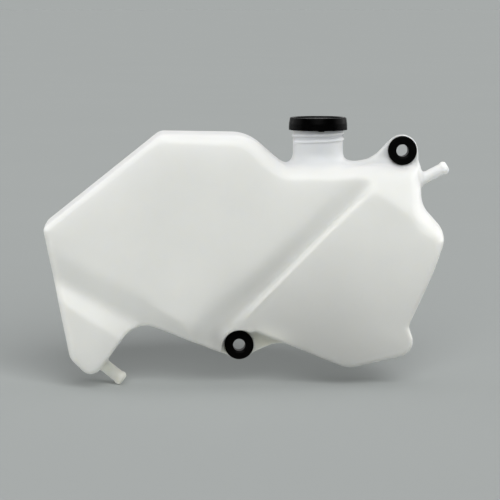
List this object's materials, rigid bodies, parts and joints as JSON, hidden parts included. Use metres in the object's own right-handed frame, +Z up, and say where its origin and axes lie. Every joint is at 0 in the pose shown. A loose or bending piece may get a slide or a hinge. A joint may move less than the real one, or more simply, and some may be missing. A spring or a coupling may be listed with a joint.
{
  "type": "coolant expansion tank",
  "caption": "Blow-moulded coolant expansion tank with a screw cap, two rubber-bushed mounting ears and two hose nipples.",
  "frame": {"origin": "middle of the bolt hole in the upper grommet, on the parting plane of the blown shell", "axes": "+X to the right as seen from the front, along the body; +Y from the front face to the back, along the bolt holes; +Z up, along the neck"},
  "size_m": [0.2649, 0.06, 0.1754],
  "materials": {
    "shell": "milky translucent polyethylene, soft satin skin of a blown part",
    "cap": "black moulded plastic, satin",
    "seal": "flat black rubber",
    "grommet": "black moulded rubber, slightly glossy"
  },
  "bodies": {
    "shell": {"tank": "shell", "upper_grommet": "grommet", "lower_grommet": "grommet"},
    "seal_disc": {"cap_seal": "seal"},
    "screw_cap": {"cap": "cap"}
  },
  "joints": [
    {"name": "cap_lift", "type": "slide", "parent": "shell", "child": "seal_disc", "axis": [0, 0, 1], "range_m": [0, 0.00601]},
    {"name": "cap_turn", "type": "hinge", "parent": "seal_disc", "child": "screw_cap", "pos_m": [-0.055, 0, 0.015], "axis": [0, 0, 1], "range_deg": [0, 540]}
  ],
  "couplings": [
    {"joint": "cap_lift", "follows": "cap_turn", "m_per_rad": 0.00063662}
  ]
}
